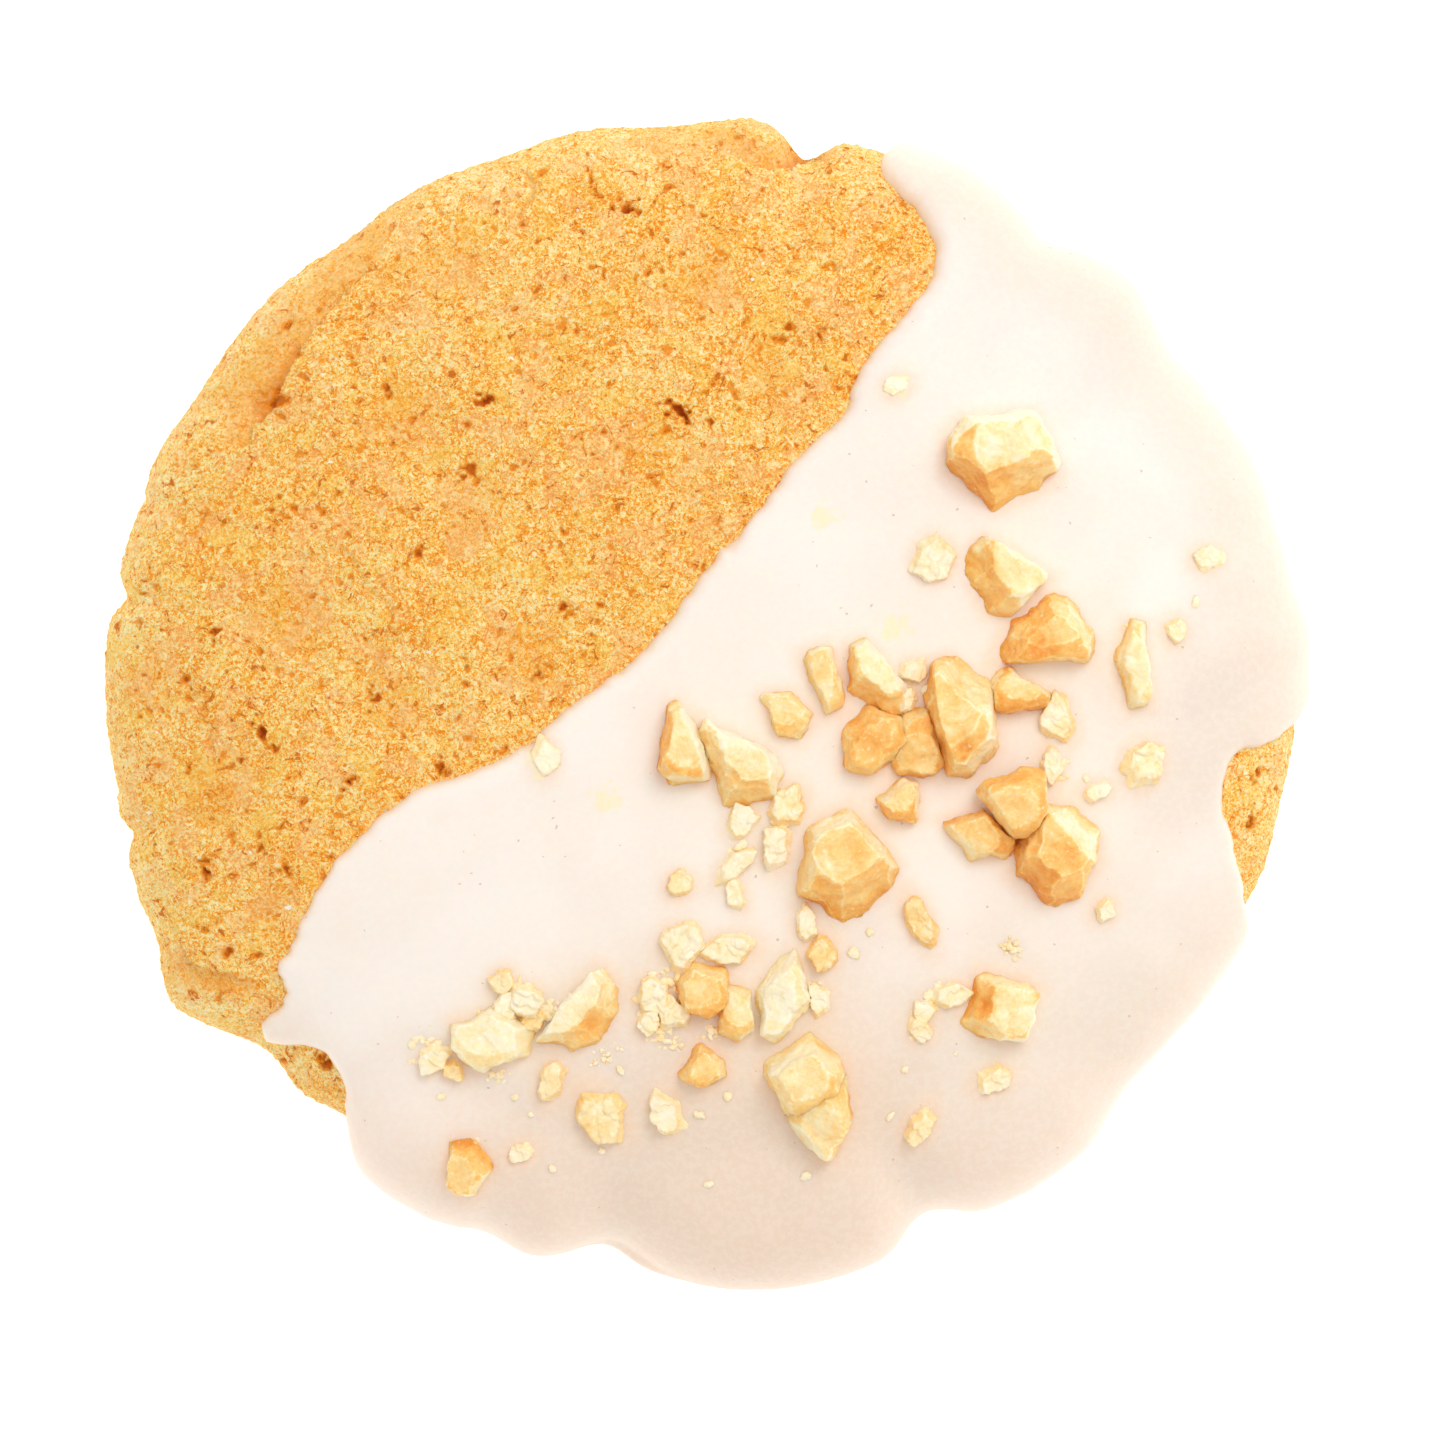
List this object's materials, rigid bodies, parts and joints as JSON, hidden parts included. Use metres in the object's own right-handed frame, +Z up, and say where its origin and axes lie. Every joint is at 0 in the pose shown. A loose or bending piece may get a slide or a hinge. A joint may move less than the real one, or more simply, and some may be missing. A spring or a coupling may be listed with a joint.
{
  "type": "half-iced peanut cookie",
  "caption": "Round soft-baked cookie lying flat, half of its top and side dipped in white icing with chopped peanuts stuck on.",
  "frame": {"origin": "middle of the cookie's outline, on the surface that it lies on", "axes": "+Z up out of the face, the shortest way through; +Y towards the top of the picture, so the iced side faces +X and -Y"},
  "size_m": [0.0838, 0.0813, 0.0176],
  "materials": {
    "biscuit": "dry baked crumb, matte and grainy",
    "icing": "set sugar icing, smooth with a soft satin sheen",
    "peanut": "roasted nut, golden outside and pale where broken"
  },
  "bodies": {
    "root": {"biscuit": "biscuit", "icing": "icing"}
  },
  "joints": []
}
